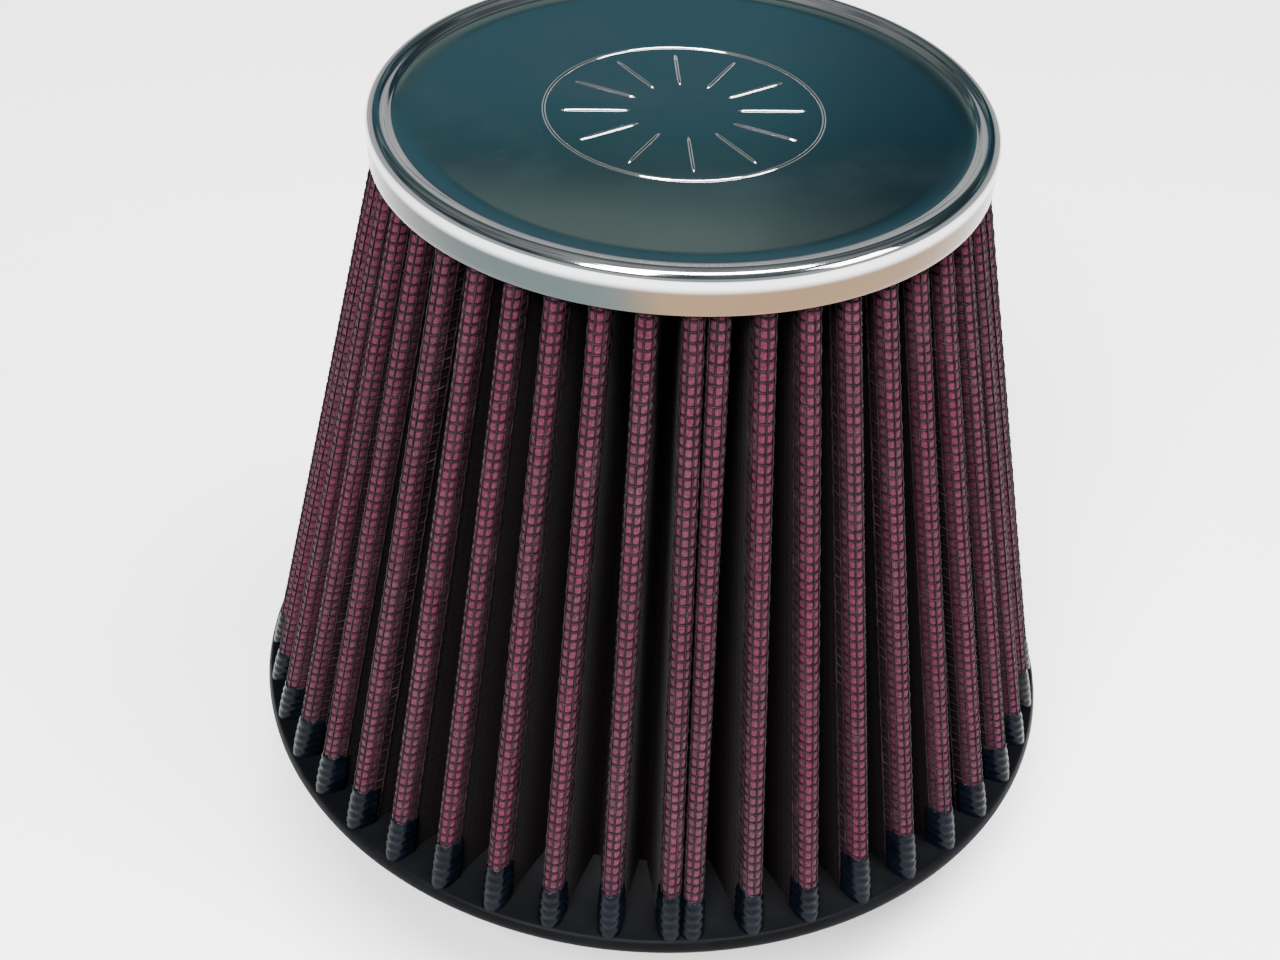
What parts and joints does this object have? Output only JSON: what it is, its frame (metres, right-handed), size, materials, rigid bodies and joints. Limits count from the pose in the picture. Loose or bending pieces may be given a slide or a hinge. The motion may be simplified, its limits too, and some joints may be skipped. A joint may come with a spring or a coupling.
{
  "type": "air filter",
  "caption": "Round tapered clamp-on motorcycle air filter: pleated oiled gauze between wire screens, chrome cap, rubber base and neck with a worm-drive clamp.",
  "frame": {"origin": "on the filter's axis, at the neck's open end face", "axes": "+Z along the filter's axis from the neck towards the cap; -Y towards the media's seam; +X towards the clamp's screw housing"},
  "size_m": [0.127, 0.127, 0.1265],
  "materials": {
    "chrome": "polished chrome plate",
    "resin": "cast black urethane, semi-matt",
    "screen_wire": "dark epoxy-coated woven wire",
    "gauze": "oiled cotton gauze, red-mauve",
    "strip_steel": "zinc-plated crimp channel",
    "rubber": "moulded black rubber, slight gloss",
    "clamp_steel": "stainless strip",
    "screw_steel": "zinc-plated screw"
  },
  "bodies": {
    "filter": {"top_cap": "chrome", "top_potting": "resin", "outer_screen": "screen_wire", "gauze_layer_1": "gauze", "gauze_layer_2": "gauze", "gauze_layer_3": "gauze", "gauze_layer_4": "gauze", "inner_screen": "screen_wire", "seam_strip": "strip_steel", "base": "rubber"},
    "clamp": {"clamp_band": "clamp_steel", "clamp_saddle": "clamp_steel", "clamp_housing": "clamp_steel"},
    "screw": {"clamp_screw": "screw_steel"}
  },
  "joints": [
    {"name": "clamp_turn", "type": "hinge", "parent": "filter", "child": "clamp", "pos_m": [0, 0, 0.0124], "axis": [0, 0, 1], "continuous": true},
    {"name": "screw_turn", "type": "hinge", "parent": "clamp", "child": "screw", "pos_m": [0.04123, 0, 0.0124], "axis": [0, 1, 0], "continuous": true}
  ]
}
